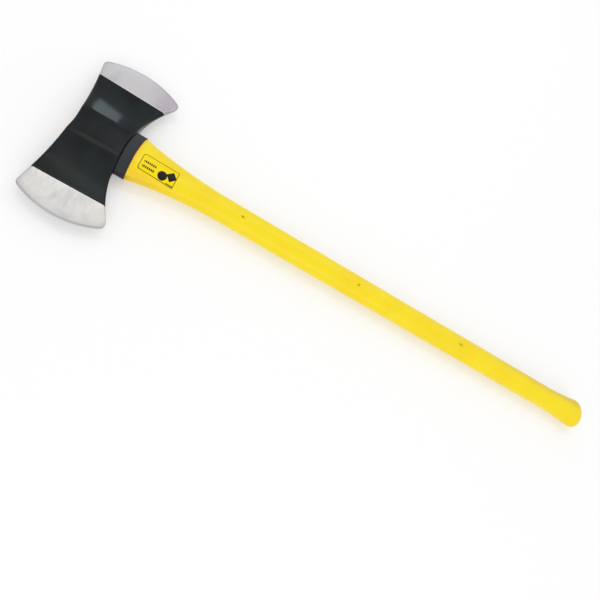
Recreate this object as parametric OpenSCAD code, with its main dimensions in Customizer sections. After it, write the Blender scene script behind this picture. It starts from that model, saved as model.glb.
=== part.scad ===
// Double-bit axe with a moulded glass-fibre handle, lying on one cheek.
// X runs along the handle towards the knob, Y from cutting edge to cutting edge, Z is up.
// The origin is on the resting face, under the middle of the eye.

/* [Head] */
// Distance between the two cutting edges
head_span = 254; // [225:1:300]
// Length of the waist along the handle
waist_len = 70.5; // [60:0.5:84]
// Thickness over the cheeks
cheek_t = 32; // [29:0.5:38]
// Width of the flat land on each cheek
land_w = 38; // [32:1:50]
// Length of each bit, from toe to heel
bit_len = 110; // [100:1:130]
// Shift of both bits towards the knob
bit_shift = 5.8; // [2:0.2:10]
// Radius of each cutting edge
edge_r = 108; // [95:1:160]
// Radius of the toe and heel corners
corner_r = 8; // [5:0.5:11]
// Depth of the ground face, from its straight shoulder to the cutting edge
grind_depth = 42; // [34:1:50]
// Thickness at the shoulder of the ground face
shoulder_t = 8.4; // [6:0.2:12]
// Width of the narrow honed bevel along the edge
hone_w = 3; // [2:0.5:5]
// Thickness where the honed bevel starts
hone_t = 1.8; // [1.2:0.2:3]
// Thickness left on the cutting edge
edge_t = 0.5; // [0.3:0.1:1]
// Rise of the arch under the waist, where the collar seats
arch_h = 2.4; // [0:0.2:4]
// Straight stretch between the collar and the start of each heel
heel_gap = 1.5; // [0.5:0.5:6]
// Radius on the long edges of the forging
forging_r = 3.5; // [1.5:0.5:5]

/* [Eye] */
// Width of the eye
eye_w = 64; // [56:1:70]
// Thickness of the eye
eye_t = 22; // [21:0.5:24]
// Thickness of the adhesive layer round the sleeve
bond_t = 1; // [0.5:0.1:1.5]
// Recess of the sleeve, the bond and the rod below the crown
crown_recess = 1; // [0.5:0.5:3]
// Length of the seal at the lower mouth of the eye
seal_len = 3; // [2:0.5:6]

/* [Core rod] */
// Width of the rod
rod_w = 24; // [20:0.5:28]
// Thickness of the rod
rod_t = 15; // [13:0.5:17]

/* [Collar] */
// Stand of the collar beyond the eye, on each side
collar_side = 4; // [3:0.5:6]
// Length of the collar
collar_len = 14.5; // [12:0.5:22]
// Depth of the sleeve's seat in the collar
collar_seat = 8; // [5:0.5:10]
// Width of the rounded edge at each end of the collar
collar_edge = 1; // [0.5:0.1:2]

/* [Handle] */
// Length from the crown of the eye to the end of the knob
axe_len = 890; // [720:1:950]
// Step from the collar down to the jacket, on each narrow side
throat_side_step = 1.5; // [0.5:0.5:4]
// Step from the collar down to the jacket, on each flat side
throat_flat_step = 0.5; // [0:0.5:1.5]
// Length of the taper from the collar to the shaft
taper_len = 140; // [110:5:170]
// Width of the shaft in its middle
shaft_w = 36.6; // [32:0.2:42]
// Width of the hand grip
grip_w = 37.6; // [33:0.2:43]
// Relief of the shaft and the grip below the cheek, on each flat side
grip_relief = 1.5; // [0.5:0.1:2.5]
// Length of the grip, measured from the end of the knob
grip_len = 426.5; // [300:0.5:450]
// Length over which the shaft widens into the grip
grip_ramp = 142; // [60:1:160]
// Width of the knob
knob_w = 48.5; // [44:0.5:54]
// Relief of the knob below the cheek, on each flat side
knob_relief = 0; // [0:0.1:1]
// Length of the swell from the grip to the knob
knob_len = 68; // [50:1:100]
// Depth of the domed end of the knob
dome_len = 17; // [10:1:26]
// Solid plastic between the end of the rod and the end of the knob
knob_plug = 28; // [22:1:50]
// Diameter of the marks that the moulding pins leave
pin_mark_d = 3.5; // [2.5:0.5:5]
// Depth of the pin marks
pin_mark_depth = 0.8; // [0.4:0.1:2]
// Distance from the crown to the first pair of pin marks
pin_mark_start = 240; // [200:0.5:260]
// Distance between the pairs of pin marks
pin_mark_pitch = 192; // [150:1:210]
// Shift of the pin marks towards the lower edge of the handle
pin_mark_shift = 2.8; // [0:0.1:6]

/* [Label] */
// Length of the label along the handle
label_len = 49; // [40:1:60]
// Width of the label
label_w = 24; // [18:0.5:28]
// Thickness of the label
label_t = 0.3; // [0.2:0.05:0.5]
// Distance from the collar to the label
label_gap = 9; // [5:0.5:20]
// Shift of the label towards the lower edge of the handle
label_shift = 7; // [0:0.5:8]

/* [Hidden] */
$fn = 64;

pin_mark_count = 3;
mid_z = cheek_t / 2;                    // height of the handle's axis
crown_x = -waist_len / 2;               // top of the eye
collar_x = waist_len / 2;               // underside of the waist, beside the collar
jacket_x = collar_x + collar_len;
end_x = crown_x + axe_len;
lip_x = end_x - dome_len;               // widest place of the knob
rod_end_x = end_x - knob_plug;
collar_w = eye_w + 2 * collar_side;
throat_w = collar_w - 2 * throat_side_step;
throat_t = cheek_t - 2 * throat_flat_step;
grip_t = cheek_t - 2 * grip_relief;
knob_t = cheek_t - 2 * knob_relief;
sleeve_x = crown_x + crown_recess;
sleeve_end_x = collar_x - arch_h + collar_seat;
sleeve_w = eye_w - 2 * bond_t;
sleeve_t = eye_t - 2 * bond_t;
seal_x = collar_x - arch_h - seal_len;
label_x = jacket_x + label_gap;
cut = 20;                               // how far cutters run past a face
label_lift = 0.06;                      // keeps the film clear of the jacket's facets

// Where the outline of a bit turns
bit_mid_y = head_span / 2 - edge_r;     // centre of the cutting edge's arc
corner_c = bit_len / 2 - corner_r;      // corner centres, from the middle of the bit
corner_y = bit_mid_y + sqrt(pow(edge_r - corner_r, 2) - pow(corner_c, 2));
corner_a = acos(corner_c / (edge_r - corner_r));
corner_part = corner_r * corner_a / (2 * corner_r * corner_a + edge_r * (180 - 2 * corner_a));
toe_x = bit_shift - bit_len / 2;
heel_x = bit_shift + bit_len / 2;
heel_y = collar_w / 2 + heel_gap;
grind_y = head_span / 2 - grind_depth;
hone_s = 1 - hone_w / grind_depth;      // where honing starts, as a part of the ground face
toe_power = 1.4;                        // how hollow the crown side is
heel_power = 1.5;                       // how hollow the heel side is
heel_turn = 6;                          // how late the heel side turns into its corner
cheek_power = 0.62;                     // how soon the cheek falls from the land
taper_power = 2.2;                      // how hollow the throat and the knob's swell are
dome_power = 2.3;                       // above 2 for a flatter end
dome_end = 84;                          // degrees; the rest of the dome is a small flat
wall_share = 0.8;                       // most of a wall's half height that its round takes

// Mesh steps
corner_steps = 4;
edge_steps = 16;
wall_steps = 3;
cheek_steps = 14;
land_steps = 4;
grind_steps = 4;
around = 40;
throat_steps = 14;
shaft_steps = 12;
swell_steps = 9;
dome_steps = 8;
label_rows = 8;
label_cols = 10;
columns = concat(
    [for (i = [0:corner_steps - 1]) corner_part * i / corner_steps],
    [for (i = [0:edge_steps]) corner_part + (1 - 2 * corner_part) * i / edge_steps],
    [for (i = [1:corner_steps]) 1 - corner_part + corner_part * i / corner_steps]);

function mix(a, b, k) = a + (b - a) * k;
function clamp(k) = max(0, min(1, k));
function smooth(k) = let (c = clamp(k)) c * c * (3 - 2 * c);
function in_order(v) = len(v) == 0 ? [] : let (m = v[floor(len(v) / 2)])
    concat(in_order([for (x = v) if (x < m) x]), m, in_order([for (x = v) if (x > m) x]));

// ---- shared solids -----------------------------------------------------------------

// Skin over rings of points. The second half of a ring is the twin of the first half, so
// strips between twins close both ends.
module skin(rings) {
    n = len(rings[0]);
    last = (len(rings) - 1) * n;
    points = [for (ring = rings) each ring];
    strips = [for (j = [0:n / 2 - 2]) [j, j + 1, n - j - 2, n - j - 1]];
    quads = concat(
        [for (i = [0:len(rings) - 2], j = [0:n - 1])
            [i * n + j, i * n + (j + 1) % n, (i + 1) * n + (j + 1) % n, (i + 1) * n + j]],
        [for (s = strips) [for (k = [3:-1:0]) s[k]]],
        [for (s = strips) [for (k = s) last + k]]);
    polyhedron(points, [for (q = quads) each [[q[0], q[1], q[2]], [q[0], q[2], q[3]]]],
               convexity = 6);
}

// Straight bar along X with round sides
module bar(x0, x1, w, t) {
    translate([x0, 0, mid_z]) rotate([90, 0, 90]) linear_extrude(x1 - x0) {
        square([w - t, t], center = true);
        for (side = [-1, 1]) translate([side * (w - t) / 2, 0]) circle(d = t);
    }
}

// ---- head --------------------------------------------------------------------------

// Rise of the waist's underside, and of all that seats on it, at a distance y off the axis
function arch(y) = arch_h * (1 - min(1, pow(2 * y / collar_w, 2)));
function crown_line(y) = crown_x + (toe_x - crown_x) * pow(abs(y) / corner_y, toe_power);
function heel_flare(k) = mix(pow(k, heel_power), smooth(k), pow(k, heel_turn));
function heel_line(y) = collar_x - arch(y)
    + (heel_x - collar_x) * heel_flare(clamp((abs(y) - heel_y) / (corner_y - heel_y)));
function cheek_half(y) = mix(cheek_t, shoulder_t,
    smooth(pow(clamp((abs(y) - land_w / 2) / (grind_y - land_w / 2)), cheek_power))) / 2;
function grind_half(s) = s < hone_s
    ? mix(shoulder_t, hone_t, s / hone_s) / 2
    : mix(hone_t, edge_t, (s - hone_s) / (1 - hone_s)) / 2;

// Outline of the bit from the heel, u = 0, round the cutting edge to the toe, u = 1
function turn(x, y, r, a) = [bit_shift + x + r * cos(a), y + r * sin(a)];
function bit_outline(u) =
    u < corner_part ? turn(corner_c, corner_y, corner_r, corner_a * u / corner_part)
    : u > 1 - corner_part
    ? turn(-corner_c, corner_y, corner_r, 180 - corner_a * (1 - u) / corner_part)
    : turn(0, bit_mid_y, edge_r,
        corner_a + (180 - 2 * corner_a) * (u - corner_part) / (1 - 2 * corner_part));

// One ring of the forging: y is the height of its two walls, and s runs from 0 at the
// shoulder of the ground face to 1 at the cutting edge
function head_ring(y, s, half) = let (
    r = min(forging_r, wall_share * half),
    xh = heel_line(y),
    xt = crown_line(y),
    wall = [for (k = [0:wall_steps - 1])
        [r - r * cos(90 * k / wall_steps), half - r + r * sin(90 * k / wall_steps)]],
    top = concat(
        [for (w = wall) [xh - w.x, y, w.y]],
        [for (u = columns) let (e = bit_outline(u))
            [mix(xh - r, xt + r, u) + s * (e.x - mix(heel_x, toe_x, u)),
             s > 0 ? mix(grind_y, e.y, s) : y, half]],
        [for (k = [wall_steps - 1:-1:0]) [xt + wall[k].x, y, wall[k].y]]))
    concat(top, [for (k = [len(top) - 1:-1:0]) [top[k].x, top[k].y, -top[k].z]]);

half_rings = concat(
    [for (i = [1:land_steps]) let (y = land_w / 2 * i / land_steps)
        head_ring(y, 0, cheek_half(y))],
    [for (i = [1:cheek_steps]) let (y = mix(land_w / 2, grind_y, i / cheek_steps))
        head_ring(y, 0, cheek_half(y))],
    [for (i = [1:grind_steps + 1])
        let (s = i > grind_steps ? 1 : hone_s * i / grind_steps)
        head_ring(mix(grind_y, corner_y, s), s, grind_half(s))]);

module axe_head() color([0.14, 0.16, 0.17]) difference() {
    translate([0, 0, mid_z]) skin(concat(
        [for (i = [len(half_rings) - 1:-1:0]) [for (p = half_rings[i]) [p.x, -p.y, p.z]]],
        [head_ring(0, 0, cheek_half(0))],
        half_rings));
    bar(crown_x - cut, collar_x + cut, eye_w, eye_t);
}

// ---- inside the eye ----------------------------------------------------------------

module core_rod() color([0.62, 0.42, 0.14]) bar(sleeve_x, rod_end_x, rod_w, rod_t);

module tenon_sleeve() color([0.1, 0.1, 0.11]) difference() {
    bar(sleeve_x, sleeve_end_x, sleeve_w, sleeve_t);
    bar(sleeve_x - cut, sleeve_end_x + cut, rod_w, rod_t);
}

// What fills the gap between the sleeve and the eye, from x0 to x1
module eye_filling(x0, x1) difference() {
    bar(x0, x1, eye_w, eye_t);
    bar(x0 - cut, x1 + cut, sleeve_w, sleeve_t);
}

module epoxy_bond() color([0.75, 0.68, 0.5]) eye_filling(sleeve_x, seal_x);

module eye_seal() color([0.25, 0.25, 0.26]) eye_filling(seal_x, collar_x - arch_h);

// ---- handle ------------------------------------------------------------------------

// Oval ring round the axis with half width a and half thickness b; its x follows the arch
// under the waist by the share k
function oval_ring(x, a, b, k) = [for (i = [0:around - 1])
    let (angle = -360 * (i + 0.5) / around, y = a * cos(angle))
    [x - k * arch(y), y, b * sin(angle)]];

module collar() color([0.09, 0.1, 0.11]) difference() {
    translate([0, 0, mid_z]) skin([
        for (e = [[0, 1], [collar_edge, 0], [collar_len - collar_edge, 0], [collar_len, 1]])
            oval_ring(collar_x + e[0], collar_w / 2 - e[1] * collar_edge,
                      cheek_t / 2 - e[1] * collar_edge, 1)]);
    bar(collar_x - cut, sleeve_end_x, sleeve_w, sleeve_t);
    bar(collar_x - cut, jacket_x + cut, rod_w, rod_t);
}

function throat(x) = pow(clamp(1 - (x - jacket_x) / taper_len), taper_power);
function swell(x) = pow(clamp(1 - (lip_x - x) / knob_len), taper_power);
function dome(x) = let (k = clamp((x - lip_x) / dome_len)) pow(1 - pow(k, dome_power), 1 / dome_power);
function grip_blend(x) = smooth((x - end_x + grip_len) / grip_ramp);
function jacket_a(x) = dome(x) * (shaft_w + (throat_w - shaft_w) * throat(x)
    + (grip_w - shaft_w) * grip_blend(x) + (knob_w - grip_w) * swell(x)) / 2;
function jacket_b(x) = dome(x) * (grip_t + (throat_t - grip_t) * throat(x)
    + (knob_t - grip_t) * swell(x)) / 2;

// Height of the jacket above its axis, at a distance x along it and y off its axis
function jacket_top(x, y) = jacket_b(x) * sqrt(1 - pow(y / jacket_a(x), 2));
function pin_mark_x(i) = crown_x + pin_mark_start + i * pin_mark_pitch;
// A ring on each side of every pin mark keeps the mark's own facets short
jacket_stations = in_order(concat(
    [for (i = [0:pin_mark_count - 1], side = [-1, 1]) pin_mark_x(i) + side * pin_mark_d],
    [for (i = [0:throat_steps - 1]) mix(jacket_x, jacket_x + taper_len, i / throat_steps)],
    [for (i = [0:shaft_steps - 1]) mix(jacket_x + taper_len, lip_x - knob_len, i / shaft_steps)],
    [for (i = [0:swell_steps - 1]) mix(lip_x - knob_len, lip_x, i / swell_steps)],
    [for (i = [0:dome_steps]) lip_x + dome_len * sin(dome_end * i / dome_steps)]));

module handle_jacket() color([0.98, 0.87, 0.16]) difference() {
    translate([0, 0, mid_z]) skin([for (x = jacket_stations)
        oval_ring(x, jacket_a(x), jacket_b(x), throat(x))]);
    bar(collar_x - cut, rod_end_x, rod_w, rod_t);
    for (i = [0:pin_mark_count - 1], side = [-1, 1])
        let (x = pin_mark_x(i), top = jacket_top(x, pin_mark_shift) - pin_mark_depth)
            translate([x, -pin_mark_shift, mid_z + side * (top + cut / 2)])
                cylinder(d = pin_mark_d, h = cut, center = true);
}

// ---- label -------------------------------------------------------------------------

// Point on the jacket, lifted by d, at a distance x along it and y off its axis
function on_jacket(x, y, d) = let (a = jacket_a(x) + d, b = jacket_b(x) + d)
    [x - throat(x) * arch(y), y, b * sqrt(1 - pow(y / a, 2))];

// Points across the label at a distance x along the handle
function label_row(x, lift, order) = [for (j = order)
    on_jacket(x, label_w * (j / label_rows - 0.5) - label_shift, lift)];

// A ring runs across the top of the label and back below it
module label() color([0.97, 0.85, 0.15]) translate([0, 0, mid_z])
    skin([for (i = [0:label_cols]) let (x = label_x + label_len * i / label_cols) concat(
        label_row(x, label_lift + label_t, [0:label_rows]),
        label_row(x, label_lift, [label_rows:-1:0]))]);

axe_head();
core_rod();
tenon_sleeve();
epoxy_bond();
eye_seal();
collar();
handle_jacket();
label();
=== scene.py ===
# Double-bit axe lying on a pale light table: its looks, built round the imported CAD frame.
import math

import bpy
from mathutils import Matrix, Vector


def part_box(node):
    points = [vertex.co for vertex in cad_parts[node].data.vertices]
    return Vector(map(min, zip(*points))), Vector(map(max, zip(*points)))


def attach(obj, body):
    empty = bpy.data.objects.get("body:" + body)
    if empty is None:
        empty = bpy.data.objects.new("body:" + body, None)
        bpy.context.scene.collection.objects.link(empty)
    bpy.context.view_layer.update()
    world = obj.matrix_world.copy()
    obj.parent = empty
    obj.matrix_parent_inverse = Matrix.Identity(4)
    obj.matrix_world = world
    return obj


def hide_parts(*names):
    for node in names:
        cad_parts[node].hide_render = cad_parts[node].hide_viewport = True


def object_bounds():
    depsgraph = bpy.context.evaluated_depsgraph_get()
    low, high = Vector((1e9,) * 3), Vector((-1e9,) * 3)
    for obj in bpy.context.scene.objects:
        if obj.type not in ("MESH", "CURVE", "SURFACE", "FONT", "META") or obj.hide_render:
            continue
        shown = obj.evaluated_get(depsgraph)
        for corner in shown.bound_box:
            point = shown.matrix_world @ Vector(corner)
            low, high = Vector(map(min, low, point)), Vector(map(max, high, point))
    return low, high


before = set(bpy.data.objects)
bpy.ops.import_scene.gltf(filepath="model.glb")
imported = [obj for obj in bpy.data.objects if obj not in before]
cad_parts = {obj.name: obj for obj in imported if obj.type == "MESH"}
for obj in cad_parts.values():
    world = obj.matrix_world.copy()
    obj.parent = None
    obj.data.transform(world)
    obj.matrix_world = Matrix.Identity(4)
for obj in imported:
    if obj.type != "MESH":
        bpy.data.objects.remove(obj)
cadLow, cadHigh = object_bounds()
mm = 0.001
axisHeight = (cadLow.z + cadHigh.z) / 2           # the handle's axis lies half way up
jacketLow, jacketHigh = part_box("handle_jacket")


class Paint:                                      # a material with one Principled shader
    def __init__(self, name, **sockets):
        self.material = bpy.data.materials.new(name)
        self.material.use_nodes = True
        self.tree = self.material.node_tree
        self.shader = self.tree.nodes["Principled BSDF"]
        self.place = self.add("ShaderNodeTexCoord").outputs["Object"]
        self.x, self.y = self.add("ShaderNodeSeparateXYZ", Vector=self.place).outputs[:2]
        self.set(**sockets)

    def feed(self, socket, value):
        if isinstance(value, bpy.types.NodeSocket):
            self.tree.links.new(value, socket)
        else:
            socket.default_value = value

    def set(self, **sockets):
        for name, value in sockets.items():
            self.feed(self.shader.inputs[name.replace("_", " ")], value)

    def add(self, kind, **sockets):
        node = self.tree.nodes.new(kind)
        for name, value in sockets.items():
            self.feed(node.inputs[name.replace("_", " ")], value)
        return node

    def math(self, operation, a, b=0.0):
        node = self.tree.nodes.new("ShaderNodeMath")
        node.operation = operation
        self.feed(node.inputs[0], a)
        self.feed(node.inputs[1], b)
        return node.outputs[0]

    def offset(self, socket, centre):             # how far a coordinate is from a place
        return self.math("ABSOLUTE", self.math("SUBTRACT", socket, centre))

    def length(self, a, b):
        return self.math("SQRT", self.math("ADD", self.math("MULTIPLY", a, a), self.math("MULTIPLY", b, b)))

    def ramp(self, value, low, high, lowOut=0.0, highOut=1.0):
        node = self.add("ShaderNodeMapRange", Value=value)
        node.interpolation_type = "SMOOTHSTEP"
        for place, number in zip((1, 2, 3, 4), (low, high, lowOut, highOut)):
            self.feed(node.inputs[place], number)
        return node.outputs[0]

    def noise(self, scale, detail=3.0, roughness=0.55, stretch=(1, 1, 1)):
        mapping = self.add("ShaderNodeMapping", Vector=self.place, Scale=stretch)
        texture = self.add("ShaderNodeTexNoise", Vector=mapping.outputs[0], Scale=scale,
                           Detail=detail, Roughness=roughness)
        return texture.outputs["Fac"]

    def mix(self, share, first, second):
        node = self.tree.nodes.new("ShaderNodeMix")
        node.data_type = "RGBA"
        self.feed(node.inputs[0], share)
        self.feed(node.inputs[6], first)
        self.feed(node.inputs[7], second)
        return node.outputs[2]

    def blendNumbers(self, share, first, second):
        node = self.tree.nodes.new("ShaderNodeMix")
        self.feed(node.inputs[0], share)
        self.feed(node.inputs[2], first)
        self.feed(node.inputs[3], second)
        return node.outputs[0]

    def bump(self, height, strength, depth, under=None):
        node = self.add("ShaderNodeBump", Height=height, Strength=strength, Distance=depth)
        if under is not None:
            self.feed(node.inputs["Normal"], under)
        return node.outputs[0]


merging = {
    "sameSpot": 0.001,                            # mm, corners closer than this become one
    "pairBend": 12,                               # degrees between two triangles that make one quad
    "pairShape": 60,
}


def selectOnly(piece):
    bpy.ops.object.select_all(action="DESELECT")
    piece.select_set(True)
    bpy.context.view_layer.objects.active = piece


def copyPiece(source, name):
    piece = bpy.data.objects.new(name, source.data.copy())
    bpy.context.scene.collection.objects.link(piece)
    piece.data.materials.clear()
    selectOnly(piece)
    return piece


def editCopy(nodeName, pieceName, smoothAngle):   # a merged copy of a CAD node's mesh
    piece = copyPiece(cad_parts[nodeName], pieceName)
    bpy.ops.object.mode_set(mode="EDIT")
    bpy.ops.mesh.select_all(action="SELECT")
    bpy.ops.mesh.remove_doubles(threshold=merging["sameSpot"] * mm)
    bpy.ops.mesh.tris_convert_to_quads(face_threshold=math.radians(merging["pairBend"]),
                                       shape_threshold=math.radians(merging["pairShape"]))
    finishEdit(piece, smoothAngle)
    return piece


def finishEdit(piece, smoothAngle):
    bpy.ops.object.mode_set(mode="OBJECT")
    bpy.ops.object.shade_smooth_by_angle(angle=math.radians(smoothAngle))


def outward(face):                                # looks away from the handle's axis
    return face.normal.y * face.center.y + face.normal.z * (face.center.z - axisHeight) > 0


def startPicking(piece, mode):
    selectOnly(piece)
    bpy.ops.object.mode_set(mode="EDIT")
    bpy.ops.mesh.select_mode(type=mode)
    bpy.ops.mesh.select_all(action="DESELECT")
    bpy.ops.object.mode_set(mode="OBJECT")


def pickFaces(piece, wanted):
    startPicking(piece, "FACE")
    for face in piece.data.polygons:
        face.select = wanted(face)
    print("  picked", sum(face.select for face in piece.data.polygons), "faces of", piece.name)
    bpy.ops.object.mode_set(mode="EDIT")


def pickEdges(piece, wanted):                     # wanted is asked about an edge and the faces beside it
    startPicking(piece, "EDGE")
    beside = {}
    for face in piece.data.polygons:
        for pair in face.edge_keys:
            beside.setdefault(pair, []).append(face)
    for edge in piece.data.edges:
        edge.select = wanted(edge, beside[edge.key])
    print("  picked", sum(edge.select for edge in piece.data.edges), "edges of", piece.name)
    bpy.ops.object.mode_set(mode="EDIT")


def keepPiece(piece, slotName, *nodes):
    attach(piece, "root")
    if nodes:
        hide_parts(*nodes)


stage = {
    "cameraPlace": (0.12019, -0.43369, 0.66840),
    "cameraTurn": (20.739, -26.211, 20.236),      # degrees
    "lens": 33.96,
    "farthest": 60,                               # the camera sees this far, in metres
    "air": 0.83,                                  # strength of the even light all round
    "airColor": (1, 1, 1, 1),
    "floorSize": 24.0,
    "floorCentre": 0.3,                           # along the handle
    "floorDrop": 0.2,                             # mm below the axe
    "floorColor": (0.66, 0.66, 0.66, 1),
    "floorCloud": (0.648, 0.648, 0.651, 1),
    "floorGlow": 0.325,                           # the floor is a light table, so shadows stay faint
}
lamps = {
    "topLight": {
        "place": (-0.2, 0.84, 2.2), "aim": (0.1, 0.0, 0.0),
        "size": (1.6, 0.60), "power": 5.0, "tint": (1, 1, 1)},
    "sideLight": {
        "place": (0.9, 1.5, 1.6), "aim": (0.4, 0.0, 0.0),
        "size": (1.2, 1.0), "power": 2.6, "tint": (1, 1, 1)},
    "frontLight": {
        "place": (0.7, -1.9, 1.2), "aim": (0.4, 0.0, 0.0),
        "size": (2.0, 1.2), "power": 9, "tint": (1, 1, 1)},
    "bandLight": {                                # makes the crisp band on the upper cheek
        "place": (-0.386, 1.753, 0.787), "aim": (0.0, 0.03, 0.02),
        "size": (0.43, 0.27), "power": 1.25, "tint": (0.74, 0.91, 1.0)},
}


def buildStage():
    bpy.ops.object.camera_add(location=stage["cameraPlace"],
                              rotation=[math.radians(a) for a in stage["cameraTurn"]])
    camera = bpy.context.object
    camera.data.lens = stage["lens"]
    camera.data.clip_end = stage["farthest"]
    bpy.context.scene.camera = camera
    world = bpy.data.worlds.new("studioAir")
    world.use_nodes = True
    air = world.node_tree.nodes["Background"]
    air.inputs["Color"].default_value = stage["airColor"]
    air.inputs["Strength"].default_value = stage["air"]
    bpy.context.scene.world = world
    bpy.context.scene.view_settings.view_transform = "Standard"
    for name, lamp in lamps.items():
        bpy.ops.object.light_add(type="AREA", location=lamp["place"])
        light = bpy.context.object
        light.name = name
        light.data.shape = "RECTANGLE"
        light.data.size, light.data.size_y = lamp["size"]
        light.data.energy = lamp["power"]
        light.data.color = lamp["tint"]
        towards = Vector(lamp["aim"]) - light.location
        light.rotation_euler = towards.to_track_quat("-Z", "Y").to_euler()
    bpy.ops.mesh.primitive_plane_add(size=stage["floorSize"],
                                     location=(stage["floorCentre"], 0, cadLow.z - stage["floorDrop"] * mm))
    floor = bpy.context.object
    floor.name = "floor"
    paint = Paint("floorPaint", Roughness=0.9, Specular_IOR_Level=0.1,
                  Emission_Color=stage["airColor"], Emission_Strength=stage["floorGlow"])
    paint.set(Base_Color=paint.mix(paint.noise(0.8), stage["floorColor"], stage["floorCloud"]))
    floor.data.materials.append(paint.material)
    print("stage: camera, four soft lights and the floor")


head = {
    "lacquer": (0.0050, 0.0068, 0.0066, 1),
    "lacquerLight": (0.0085, 0.0130, 0.0150, 1),
    "lacquerGloss": 0.18,
    "lacquerRough": (0.09, 0.12),                 # on the upper cheek
    "roughExtra": 0.15,                           # added on the land and on the lower cheek
    "roughFrom": (6, 20),                         # mm across, where the extra roughness fades out
    # the upper bit's steel is painted darker and cooler as shade, the lower bit's lighter and warmer as lit
    "steelShadedUpperBit": (0.535, 0.505, 0.512, 1),
    "steelLitLowerBit": (0.585, 0.575, 0.545, 1),
    "steelCloud": (0.38, 0.345, 0.40, 1),
    "steelRough": (0.36, 0.50),
    "heelShadeTint": (0.36, 0.31, 0.375, 1),           # painted shade: darker and violet towards the heel of the upper bit
    "heelFrom": (5, 62),                          # mm along the handle
    "heelShare": 0.62,
    # pale steel for the grinding marks, and a painted highlight beside the shoulder
    "steelMarksAndHighlight": (0.70, 0.69, 0.69, 1),
    "honedSteel": (0.40, 0.40, 0.43, 1),
    "honedShare": 0.6,
    "grindLine": 85.0,                            # mm from the axis to the ground shoulder
    "grindRagged": 0.35,                          # mm, how uneven the lacquer's edge is
    "edgeCentre": 19.0,                           # mm from the axis to the centre of each edge's arc
    "edgeRadius": 108.0,
    "bitShift": 5.8,
    "honeWidth": 3.0,
    "eyeRound": 0.7,                              # mm
    "rimAngle": 50,                               # degrees, sharper edges of the eye's mouth are rounded
    "rimReach": 1.5,                              # mm from the bond's end
    "rimMargin": 0.5,
    "smoothAngle": 36,
}


def makeHeadPaint():
    paint = Paint("lacquerAndGroundSteel", Specular_IOR_Level=head["lacquerGloss"])
    away = paint.math("ABSOLUTE", paint.y)
    grindLine = head["grindLine"] * mm
    uneven = paint.math("SUBTRACT", paint.noise(420), 0.5)
    ragged = paint.math("MULTIPLY", uneven, head["grindRagged"] * mm)
    bare = paint.ramp(paint.math("ADD", away, ragged), grindLine - 0.15 * mm, grindLine + 0.15 * mm)
    # distance from the centre of the edge's arc
    reach = paint.length(paint.math("SUBTRACT", paint.x, head["bitShift"] * mm),
                         paint.math("SUBTRACT", away, head["edgeCentre"] * mm))
    honeStart = (head["edgeRadius"] - head["honeWidth"]) * mm
    honed = paint.ramp(reach, honeStart - 0.4 * mm, honeStart + 0.4 * mm)

    lacquer = paint.mix(paint.ramp(paint.noise(28, 2), 0.35, 0.7), head["lacquer"], head["lacquerLight"])
    # painted shade: the upper bit's steel is darker than the lower bit's
    side = paint.ramp(paint.y, -20 * mm, 20 * mm)
    steel = paint.mix(side, head["steelLitLowerBit"], head["steelShadedUpperBit"])
    cloud = paint.ramp(paint.noise(32, 4, 0.6), 0.48, 0.78, 0, 0.55)
    steel = paint.mix(cloud, steel, head["steelCloud"])
    # painted shade: the upper bit darkens to violet towards the heel
    heelStart, heelEnd = head["heelFrom"]
    heel = paint.ramp(paint.x, heelStart * mm, heelEnd * mm, 0.0, head["heelShare"])
    steel = paint.mix(paint.math("MULTIPLY", heel, side), steel, head["heelShadeTint"])
    streaks = paint.noise(900, 3, 0.6, stretch=(1, 0.03, 1))                   # grinding marks
    steel = paint.mix(paint.ramp(streaks, 0.3, 0.7, 0, 0.22), steel, head["steelMarksAndHighlight"])
    # painted highlight: a pale strip just past the ground shoulder
    shoulder = paint.ramp(away, grindLine, grindLine + 1.4 * mm, 0.7, 0.0)
    steel = paint.mix(shoulder, steel, head["steelMarksAndHighlight"])
    steel = paint.mix(paint.math("MULTIPLY", honed, head["honedShare"]), steel, head["honedSteel"])
    paint.set(Base_Color=paint.mix(bare, lacquer, steel), Metallic=bare)

    steelRough = paint.ramp(streaks, 0.3, 0.7, *head["steelRough"])
    lacquerRough = paint.ramp(paint.noise(30, 2), 0.3, 0.7, *head["lacquerRough"])
    fadeStart, fadeEnd = head["roughFrom"]
    extra = paint.ramp(paint.y, fadeStart * mm, fadeEnd * mm, head["roughExtra"], 0.0)
    lacquerRough = paint.math("ADD", lacquerRough, extra)
    paint.set(Roughness=paint.blendNumbers(bare, lacquerRough, steelRough))

    forged = paint.bump(paint.noise(24, 2, 0.4), 0.10, 1.2 * mm)               # hammered unevenness
    peel = paint.bump(paint.noise(420, 2), 0.04, 0.06 * mm, under=forged)      # lacquer grain
    film = paint.bump(paint.math("SUBTRACT", 1.0, bare), 0.35, 0.12 * mm, under=peel)
    paint.set(Normal=paint.bump(streaks, 0.10, 0.06 * mm, under=film))
    return paint.material


def roundEyeRim(piece):                           # the sharp rim of the eye, at the crown
    eyeLow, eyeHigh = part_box("epoxy_bond")
    margin = head["rimMargin"] * mm

    def onRim(edge, near):
        first, second = (piece.data.vertices[i].co for i in edge.vertices)
        middle = (first + second) / 2
        return (len(near) == 2 and near[0].normal.angle(near[1].normal) > math.radians(head["rimAngle"])
                and middle.x < eyeLow.x + head["rimReach"] * mm and abs(middle.y) < eyeHigh.y + margin
                and eyeLow.z - margin < middle.z < eyeHigh.z + margin)

    pickEdges(piece, onRim)
    bpy.ops.mesh.bevel(offset=head["eyeRound"] * mm, segments=2, affect="EDGES", clamp_overlap=True)
    finishEdit(piece, head["smoothAngle"])


def buildHead():
    piece = editCopy("axe_head", "forgedHead", head["smoothAngle"])
    roundEyeRim(piece)
    piece.data.materials.append(makeHeadPaint())
    keepPiece(piece, "head_steel", "axe_head")
    print("head: lacquered forging with ground bits")


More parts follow.
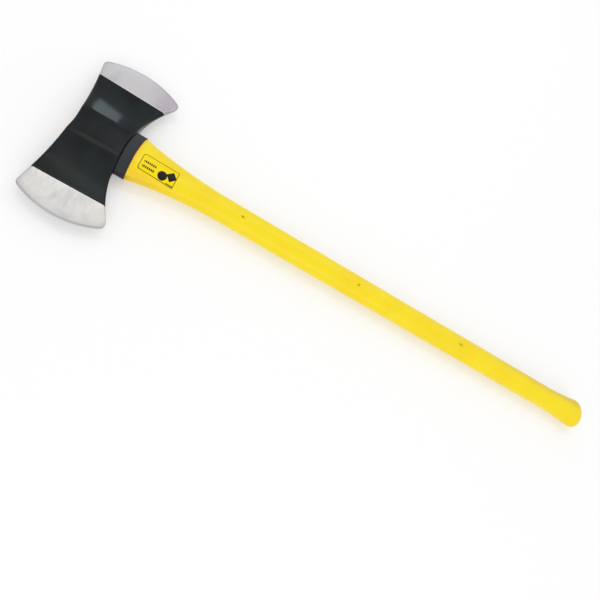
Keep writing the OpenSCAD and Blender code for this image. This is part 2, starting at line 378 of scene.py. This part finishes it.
# What fills the eye keeps its CAD shapes. Each finish has two colours, its roughness, the grain's
# size, detail, softness and stretch, and how strong and deep (mm) the grain's relief is.
eyeFillings = {
    "core_rod": {
        "name": "amberGlassFibre", "dark": (0.50, 0.22, 0.045, 1), "light": (0.78, 0.52, 0.20, 1),
        "rough": 0.35, "grain": (700, 3, 0.6, (0.02, 1, 1)), "relief": (0.3, 0.1)},
    "tenon_sleeve": {
        "name": "blackNylon", "dark": (0.012, 0.012, 0.014, 1), "light": (0.03, 0.03, 0.032, 1),
        "rough": 0.5, "grain": (800,), "relief": (0.2, 0.1)},
    "epoxy_bond": {
        "name": "castEpoxy", "dark": (0.42, 0.33, 0.18, 1), "light": (0.62, 0.53, 0.33, 1),
        "rough": 0.22, "grain": (180, 4), "relief": (0.5, 0.4)},
    "eye_seal": {
        "name": "foamSeal", "dark": (0.02, 0.02, 0.021, 1), "light": (0.07, 0.07, 0.072, 1),
        "rough": 0.85, "grain": (1400, 2), "relief": (0.6, 0.2)},
}


def dressEyeFillings():
    for node, finish in eyeFillings.items():
        paint = Paint(finish["name"], Roughness=finish["rough"])
        grain = paint.noise(*finish["grain"])
        strength, depth = finish["relief"]
        paint.set(Base_Color=paint.mix(grain, finish["dark"], finish["light"]),
                  Normal=paint.bump(grain, strength, depth * mm))
        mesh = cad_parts[node].data
        mesh.materials.clear()
        mesh.materials.append(paint.material)
    print("eye: rod, sleeve, bond and seal have their finishes")


collar = {
    "dark": (0.016, 0.019, 0.0215, 1),
    "light": (0.026, 0.032, 0.036, 1),
    "gloss": 0.3,
    "rough": (0.46, 0.60),
    "lip": 1.1,                                   # mm, width of the lip at each end
    "lipDepth": 0.35,
    "wallArea": 8,                                # square mm, the wall's facets are larger than this
    "smoothAngle": 40,
}


def makeCollarPaint():
    paint = Paint("collarRubber", Specular_IOR_Level=collar["gloss"])
    mottle = paint.noise(90, 4)
    paint.set(Base_Color=paint.mix(paint.ramp(mottle, 0.3, 0.7), collar["dark"], collar["light"]),
              Roughness=paint.ramp(mottle, 0.3, 0.7, *collar["rough"]),
              Normal=paint.bump(paint.noise(1600, 2), 0.25, 0.08 * mm))
    return paint.material


def buildCollar():
    piece = editCopy("collar", "eyeCollar", collar["smoothAngle"])
    # the wall between the two rounded ends is sunk a little, which leaves a lip at each end
    pickFaces(piece, lambda face: abs(face.normal.x) < 0.2
              and face.area > collar["wallArea"] * mm * mm and outward(face))
    bpy.ops.mesh.inset(thickness=collar["lip"] * mm, depth=-collar["lipDepth"] * mm, use_even_offset=True)
    finishEdit(piece, collar["smoothAngle"])
    piece.data.materials.append(makeCollarPaint())
    keepPiece(piece, "collar_rubber", "collar")
    print("collar: dull black moulding")


handle = {
    "yellow": (0.925, 0.725, 0.004, 1),
    "yellowDeep": (0.905, 0.668, 0.003, 1),
    "gloss": 0.34,
    "rough": (0.30, 0.42),
    "amberStainAndShade": (0.80, 0.36, 0.03, 1),               # adhesive stain beside the collar, and painted shade along the throat's near edge
    "amberAtCollar": 0.35,
    "nearEdgeShadeAtThroat": 0.30,
    "farEdgeShadeOchre": (0.68, 0.46, 0.015, 1),              # painted shade along the far edge of the grip
    "farEdgeShadeShare": 0.8,
    "flatAngle": 0.25,                            # degrees, flatter joins between facets are dissolved
    "cutEvery": 11.0,                             # mm
    "partingBand": 1.1,                           # mm above and below the axis
    "partingInset": 1.15,                         # mm, leaves a fine ridge
    "partingHeight": 0.12,
    "domeLength": 20.0,
    "pinX": (0.20475, 0.39675, 0.58875),          # where the moulding pins left their marks
    "pinY": -0.0028,
    "pinStain": (0.42, 0.24, 0.012, 1),
    "pinStrength": (0.75, 0.42, 0.42),            # the mark beside the throat is the darkest
    "pinRadius": 1.75,
    "smoothAngle": 40,
}


def mixYellow(paint):                             # the plastic's colour, which the label's film shares
    mottle = paint.ramp(paint.noise(22, 4, 0.6), 0.35, 0.75)
    return paint.mix(mottle, handle["yellow"], handle["yellowDeep"])


def makeJacketPaint():
    paint = Paint("mouldedYellow", Specular_IOR_Level=handle["gloss"])
    color = mixYellow(paint)
    start, end = jacketLow.x, jacketHigh.x
    collarSide = paint.ramp(paint.x, start + 1.5 * mm, start + 7 * mm, handle["amberAtCollar"], 0.0)
    # painted shade: amber along the near edge of the throat
    throat = paint.ramp(paint.x, start + 20 * mm, start + 110 * mm, handle["nearEdgeShadeAtThroat"], 0.0)
    nearEdgeShade = paint.ramp(paint.y, -30 * mm, -14 * mm, 1.0, 0.0)
    amberStainAndShade = paint.math("MAXIMUM", collarSide, paint.math("MULTIPLY", throat, nearEdgeShade))
    color = paint.mix(amberStainAndShade, color, handle["amberStainAndShade"])
    # painted shade: ochre along the far edge of the grip, towards the knob
    grip = paint.ramp(paint.x, end - 320 * mm, end - 60 * mm, 0.0, handle["farEdgeShadeShare"])
    farEdgeShade = paint.ramp(paint.y, -2 * mm, 19 * mm)
    color = paint.mix(paint.math("MULTIPLY", grip, farEdgeShade), color, handle["farEdgeShadeOchre"])
    for pinX, strength in zip(handle["pinX"], handle["pinStrength"]):
        reach = paint.length(paint.offset(paint.x, pinX), paint.offset(paint.y, handle["pinY"]))
        radius = handle["pinRadius"] * mm
        mark = paint.ramp(reach, radius - 0.3 * mm, radius + 0.4 * mm, strength, 0.0)
        color = paint.mix(mark, color, handle["pinStain"])
    paint.set(Base_Color=color, Roughness=paint.ramp(paint.noise(60), 0.3, 0.7, *handle["rough"]),
              Normal=paint.bump(paint.noise(1500, 2), 0.10, 0.06 * mm))
    return paint.material


def evenFacets():                                 # long facets become short quads, which shade evenly
    bpy.ops.object.mode_set(mode="EDIT")
    bpy.ops.mesh.select_all(action="SELECT")
    bpy.ops.mesh.dissolve_limited(angle_limit=math.radians(handle["flatAngle"]))
    length = jacketHigh.x - jacketLow.x
    steps = int(length / (handle["cutEvery"] * mm))
    for i in range(1, steps):
        bpy.ops.mesh.select_all(action="SELECT")
        bpy.ops.mesh.bisect(plane_co=(jacketLow.x + length * i / steps, 0, axisHeight), plane_no=(1, 0, 0))
    bpy.ops.object.mode_set(mode="OBJECT")


def buildHandle():
    piece = editCopy("handle_jacket", "mouldedHandle", handle["smoothAngle"])
    evenFacets()
    # the mould's parting line is a fine ridge along both narrow sides
    pickFaces(piece, lambda face: abs(face.center.z - axisHeight) < handle["partingBand"] * mm
              and abs(face.normal.y) > 0.85
              and face.center.x < jacketHigh.x - handle["domeLength"] * mm and outward(face))
    bpy.ops.mesh.inset(thickness=handle["partingInset"] * mm, depth=handle["partingHeight"] * mm,
                       use_even_offset=True)
    finishEdit(piece, handle["smoothAngle"])
    piece.data.materials.append(makeJacketPaint())
    keepPiece(piece, "yellow_plastic", "handle_jacket")
    print("handle: yellow moulding with its parting line")
    return piece


bead = {
    "radius": 0.42,                               # mm
    "roundness": 3,
    "endDepth": 4,                                # mm, how deep the jacket's hollow end is searched
    "dark": (0.20, 0.075, 0.012, 1),
    "light": (0.46, 0.20, 0.03, 1),
    "rough": 0.3,
}


def buildBead(jacket):                            # adhesive squeezed out between collar and jacket
    piece = copyPiece(jacket, "adhesiveBead")

    def onEnd(edge, near):
        atEnd = any(face.normal.x < -0.9 and face.center.x < jacketLow.x + bead["endDepth"] * mm
                    for face in near)
        return atEnd and any(outward(face) and abs(face.normal.x) < 0.6 for face in near)

    # only the jacket's outer edge beside the collar is kept, as a line
    pickEdges(piece, onEnd)
    bpy.ops.mesh.select_all(action="INVERT")
    bpy.ops.mesh.delete(type="EDGE")
    bpy.ops.mesh.select_all(action="SELECT")
    bpy.ops.mesh.remove_doubles(threshold=0.01 * mm)
    bpy.ops.object.mode_set(mode="OBJECT")
    bpy.ops.object.convert(target="CURVE")
    piece = bpy.context.object
    piece.data.bevel_depth = bead["radius"] * mm
    piece.data.bevel_resolution = bead["roundness"]
    bpy.ops.object.convert(target="MESH")
    piece = bpy.context.object
    bpy.ops.object.mode_set(mode="EDIT")
    bpy.ops.mesh.select_all(action="SELECT")
    bpy.ops.mesh.remove_doubles(threshold=merging["sameSpot"] * mm)
    bpy.ops.mesh.normals_make_consistent(inside=False)
    bpy.ops.object.mode_set(mode="OBJECT")
    bpy.ops.object.shade_smooth()
    paint = Paint("squeezedAdhesive", Roughness=bead["rough"])
    lumps = paint.noise(220, 3)
    paint.set(Base_Color=paint.mix(paint.ramp(lumps, 0.35, 0.65), bead["dark"], bead["light"]),
              Normal=paint.bump(lumps, 0.5, 0.3 * mm))
    piece.data.materials.append(paint.material)
    keepPiece(piece, "epoxy")
    print("bead: adhesive squeezed out beside the collar")


label = {                                         # places and sizes in mm
    "ink": (0.012, 0.011, 0.009, 1),
    "thinInk": (0.05, 0.042, 0.012, 1),
    "rough": 0.3,
    "gloss": 0.15,
    "softness": 0.12,                             # how soft a printed edge is
    "frameInset": 0.7,                            # from the film's edge to the printed frame
    "frameWidth": 0.8,
    "frameRound": 3.0,                            # radius of the frame's corners beside the head
    "rows": ((69.5, -5.6), (69.5, -12.4)),        # centres of the two rows of ticks
    "rowSize": (17.0, 3.2),
    "tickPitch": 2.6,
    "disc": (88.8, -11.0, 6.2),                   # centre and radius
    "diamond": (100.0, -6.4, 7.4),                # centre and half diagonal
    "underline": (101.6, -16.9, 5.0, 0.55),       # centre and half sizes
    "smoothAngle": 60,
}


def makeLabelPaint():
    paint = Paint("printedFilm", Roughness=label["rough"], Specular_IOR_Level=label["gloss"])
    soft = label["softness"] * mm

    def inside(distance):                         # 1 where a distance is below zero
        return paint.ramp(distance, -soft, soft, 1.0, 0.0)

    def offsets(cx, cy):
        return paint.offset(paint.x, cx * mm), paint.offset(paint.y, cy * mm)

    def boxDistance(cx, cy, halfX, halfY):
        dx, dy = offsets(cx, cy)
        return paint.math("MAXIMUM", paint.math("SUBTRACT", dx, halfX * mm),
                          paint.math("SUBTRACT", dy, halfY * mm))

    # frame: a box whose corners beside the head are round
    low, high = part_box("label")
    midX, midY = (low.x + high.x) / 2 / mm, (low.y + high.y) / 2 / mm
    halfX = (high.x - low.x) / 2 / mm - label["frameInset"]
    halfY = (high.y - low.y) / 2 / mm - label["frameInset"]
    radius = label["frameRound"]
    pastX = paint.math("SUBTRACT", (midX - halfX + radius) * mm, paint.x)
    pastY = paint.math("SUBTRACT", paint.offset(paint.y, midY * mm), (halfY - radius) * mm)
    corner = paint.length(paint.math("MAXIMUM", pastX, 0.0), paint.math("MAXIMUM", pastY, 0.0))
    outline = paint.math("MAXIMUM", boxDistance(midX, midY, halfX, halfY),
                         paint.math("SUBTRACT", corner, radius * mm))
    thin = inside(paint.math("SUBTRACT", paint.math("ABSOLUTE", outline), label["frameWidth"] / 2 * mm))
    # two rows of plain ticks and an underline
    turns = paint.math("FRACT", paint.math("DIVIDE", paint.x, label["tickPitch"] * mm))
    tick = paint.ramp(paint.offset(turns, 0.5), 0.32, 0.40, 1.0, 0.0)
    rowX, rowY = label["rowSize"]
    for cx, cy in label["rows"]:
        row = inside(boxDistance(cx, cy, rowX / 2, rowY / 2))
        thin = paint.math("MAXIMUM", thin, paint.math("MULTIPLY", row, tick))
    thin = paint.math("MAXIMUM", thin, inside(boxDistance(*label["underline"])))
    # a disc and a diamond
    cx, cy, discRadius = label["disc"]
    disc = inside(paint.math("SUBTRACT", paint.length(*offsets(cx, cy)), discRadius * mm))
    cx, cy, halfDiagonal = label["diamond"]
    diamond = inside(paint.math("SUBTRACT", paint.math("ADD", *offsets(cx, cy)), halfDiagonal * mm))
    bold = paint.math("MAXIMUM", disc, diamond)
    worn = paint.ramp(paint.noise(300, 3), 0.25, 0.45, 0.75, 1.0)              # thin ink is a little broken
    color = paint.mix(paint.math("MULTIPLY", thin, worn), mixYellow(paint), label["thinInk"])
    paint.set(Base_Color=paint.mix(bold, color, label["ink"]))
    return paint.material


def buildLabel():
    piece = editCopy("label", "printedLabel", label["smoothAngle"])
    piece.data.materials.append(makeLabelPaint())
    keepPiece(piece, "label_film", "label")
    print("label: film with plain printed shapes")


buildStage()
buildHead()
dressEyeFillings()
buildCollar()
buildBead(buildHandle())
buildLabel()
